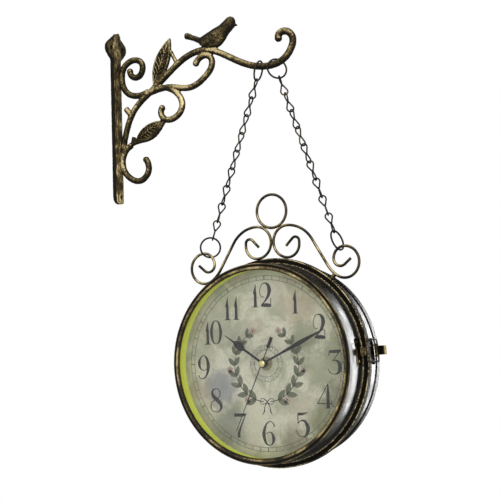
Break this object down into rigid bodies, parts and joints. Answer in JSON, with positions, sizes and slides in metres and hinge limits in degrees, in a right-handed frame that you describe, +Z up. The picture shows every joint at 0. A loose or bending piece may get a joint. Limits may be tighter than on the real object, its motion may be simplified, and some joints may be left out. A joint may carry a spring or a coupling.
{
  "type": "double sided station clock",
  "caption": "Wall-hung double sided drum clock on chains below a cast scroll bracket with a bird and leaves; the case opens on a side hinge.",
  "frame": {"origin": "on the wall face, midway between the two screws of the bracket's ear", "axes": "+X out from the wall, +Y toward the rear dial, +Z up"},
  "size_m": [0.3216, 0.0766, 0.4967],
  "materials": {
    "cast_iron_bronzed": "cast, black-brown with rubbed gold highlights",
    "bracket_wire": "blackened wire with a slight gold rub",
    "drum_paint": "gloss black-brown paint with gold rubbed edges",
    "rim_paint": "dark satin paint",
    "glass_clear": "clear flat glass",
    "spacer_paper": "yellow-green lining",
    "dial_print": "aged beige-green print on board",
    "hand_black": "stamped, black paint",
    "brass_bright": "bright brass",
    "movement_plastic": "moulded black",
    "knob_plastic": "moulded",
    "battery_label": "plain sleeve, unmarked",
    "nickel_strip": "nickelled strip",
    "rubber_black": "soft",
    "steel_pin": "plain steel"
  },
  "bodies": {
    "bracket": {"bracket_casting": "cast_iron_bronzed"},
    "left_ring": {"left_top_ring": "bracket_wire"},
    "right_ring": {"right_top_ring": "bracket_wire"},
    "left_hanger": {"left_chain": "bracket_wire", "left_bottom_ring": "bracket_wire"},
    "right_hanger": {"right_chain": "bracket_wire", "right_bottom_ring": "bracket_wire"},
    "clock": {"middle_rim": "rim_paint", "crown_ring": "bracket_wire", "left_crown_scroll": "bracket_wire", "right_crown_scroll": "bracket_wire", "rear_case_shell": "drum_paint", "rear_bezel": "drum_paint", "rear_glass": "glass_clear", "rear_spacer_ring": "spacer_paper", "rear_dial": "dial_print", "rear_movement_housing": "movement_plastic", "rear_battery": "battery_label", "rear_battery_contacts": "nickel_strip", "rear_rubber_washer": "rubber_black", "rear_mounting_nut": "brass_bright", "rear_hinge_leaf": "drum_paint", "hinge_pin": "steel_pin", "latch_base": "drum_paint", "latch_pin": "steel_pin", "latch_base_rivets": "steel_pin"},
    "front_case": {"front_case_shell": "drum_paint", "front_bezel": "drum_paint", "front_glass": "glass_clear", "front_spacer_ring": "spacer_paper", "front_dial": "dial_print", "front_movement_housing": "movement_plastic", "front_battery": "battery_label", "front_battery_contacts": "nickel_strip", "front_rubber_washer": "rubber_black", "front_mounting_nut": "brass_bright", "front_hinge_leaf": "drum_paint", "front_hinge_rivets": "steel_pin", "latch_catch": "drum_paint", "latch_catch_rivets": "steel_pin"},
    "latch_arm": {"latch_lever": "drum_paint"},
    "latch_loop": {"latch_bail": "bracket_wire"},
    "front_hour": {"front_hour_hand": "hand_black", "front_hour_pipe": "brass_bright"},
    "front_minute": {"front_minute_hand": "hand_black", "front_minute_arbor": "brass_bright"},
    "front_second": {"front_second_hand": "hand_black", "front_hub_cap": "brass_bright"},
    "front_setter": {"front_setting_knob": "knob_plastic"},
    "rear_hour": {"rear_hour_hand": "hand_black", "rear_hour_pipe": "brass_bright"},
    "rear_minute": {"rear_minute_hand": "hand_black", "rear_minute_arbor": "brass_bright"},
    "rear_second": {"rear_second_hand": "hand_black", "rear_hub_cap": "brass_bright"},
    "rear_setter": {"rear_setting_knob": "knob_plastic"}
  },
  "joints": [
    {"name": "clock_swing", "type": "hinge", "parent": "bracket", "child": "left_ring", "pos_m": [0.2023, 0, -0.04106], "axis": [1, 0, 0], "range_deg": [-30, 30]},
    {"name": "right_ring_swing", "type": "hinge", "parent": "bracket", "child": "right_ring", "pos_m": [0.2023, 0, -0.04106], "axis": [1, 0, 0], "range_deg": [-31, 31]},
    {"name": "clock_sway", "type": "hinge", "parent": "left_ring", "child": "left_hanger", "pos_m": [0.18786, 0, -0.05688], "axis": [0, 1, 0], "range_deg": [-10, 10]},
    {"name": "clock_level", "type": "hinge", "parent": "left_hanger", "child": "clock", "pos_m": [0.12129, 0, -0.24426], "axis": [0, 1, 0], "range_deg": [-3, 3]},
    {"name": "right_hanger_swing", "type": "hinge", "parent": "clock", "child": "right_hanger", "pos_m": [0.28331, 0, -0.24426], "axis": [0, 1, 0], "range_deg": [-3, 3]},
    {"name": "case_open", "type": "hinge", "parent": "clock", "child": "front_case", "pos_m": [0.0867, -0.00405, -0.36518], "axis": [0, 0, -1], "range_deg": [0, 100]},
    {"name": "latch_lift", "type": "hinge", "parent": "clock", "child": "latch_arm", "pos_m": [0.31795, 0.01, -0.35384], "axis": [0.0976, 0, -0.9952], "range_deg": [0, 120]},
    {"name": "latch_loop_swing", "type": "hinge", "parent": "latch_arm", "child": "latch_loop", "pos_m": [0.31635, 0.0165, -0.35399], "axis": [0.0976, 0, -0.9952], "range_deg": [-150, 0]},
    {"name": "front_minute_turn", "type": "hinge", "parent": "front_case", "child": "front_minute", "pos_m": [0.2023, 0, -0.36518], "axis": [0, 1, 0], "continuous": true},
    {"name": "front_hour_turn", "type": "hinge", "parent": "front_case", "child": "front_hour", "pos_m": [0.2023, 0, -0.36518], "axis": [0, 1, 0], "continuous": true},
    {"name": "front_setter_turn", "type": "hinge", "parent": "front_case", "child": "front_setter", "pos_m": [0.2023, 0, -0.35618], "axis": [0, 1, 0], "continuous": true},
    {"name": "front_second_turn", "type": "hinge", "parent": "front_case", "child": "front_second", "pos_m": [0.2023, 0, -0.36518], "axis": [0, 1, 0], "continuous": true},
    {"name": "rear_minute_turn", "type": "hinge", "parent": "clock", "child": "rear_minute", "pos_m": [0.2023, 0, -0.36518], "axis": [0, -1, 0], "continuous": true},
    {"name": "rear_hour_turn", "type": "hinge", "parent": "clock", "child": "rear_hour", "pos_m": [0.2023, 0, -0.36518], "axis": [0, -1, 0], "continuous": true},
    {"name": "rear_setter_turn", "type": "hinge", "parent": "clock", "child": "rear_setter", "pos_m": [0.2023, 0, -0.35618], "axis": [0, -1, 0], "continuous": true},
    {"name": "rear_second_turn", "type": "hinge", "parent": "clock", "child": "rear_second", "pos_m": [0.2023, 0, -0.36518], "axis": [0, -1, 0], "continuous": true}
  ],
  "couplings": [
    {"joint": "right_ring_swing", "follows": "clock_swing", "ratio": 1},
    {"joint": "clock_level", "follows": "clock_sway", "ratio": -0.17825},
    {"joint": "right_hanger_swing", "follows": "clock_sway", "ratio": 0.17825},
    {"joint": "latch_loop_swing", "follows": "latch_lift", "ratio": -1.2},
    {"joint": "front_hour_turn", "follows": "front_minute_turn", "ratio": 0.083333},
    {"joint": "front_setter_turn", "follows": "front_minute_turn", "ratio": -0.33333},
    {"joint": "rear_hour_turn", "follows": "rear_minute_turn", "ratio": 0.083333},
    {"joint": "rear_setter_turn", "follows": "rear_minute_turn", "ratio": -0.33333}
  ]
}
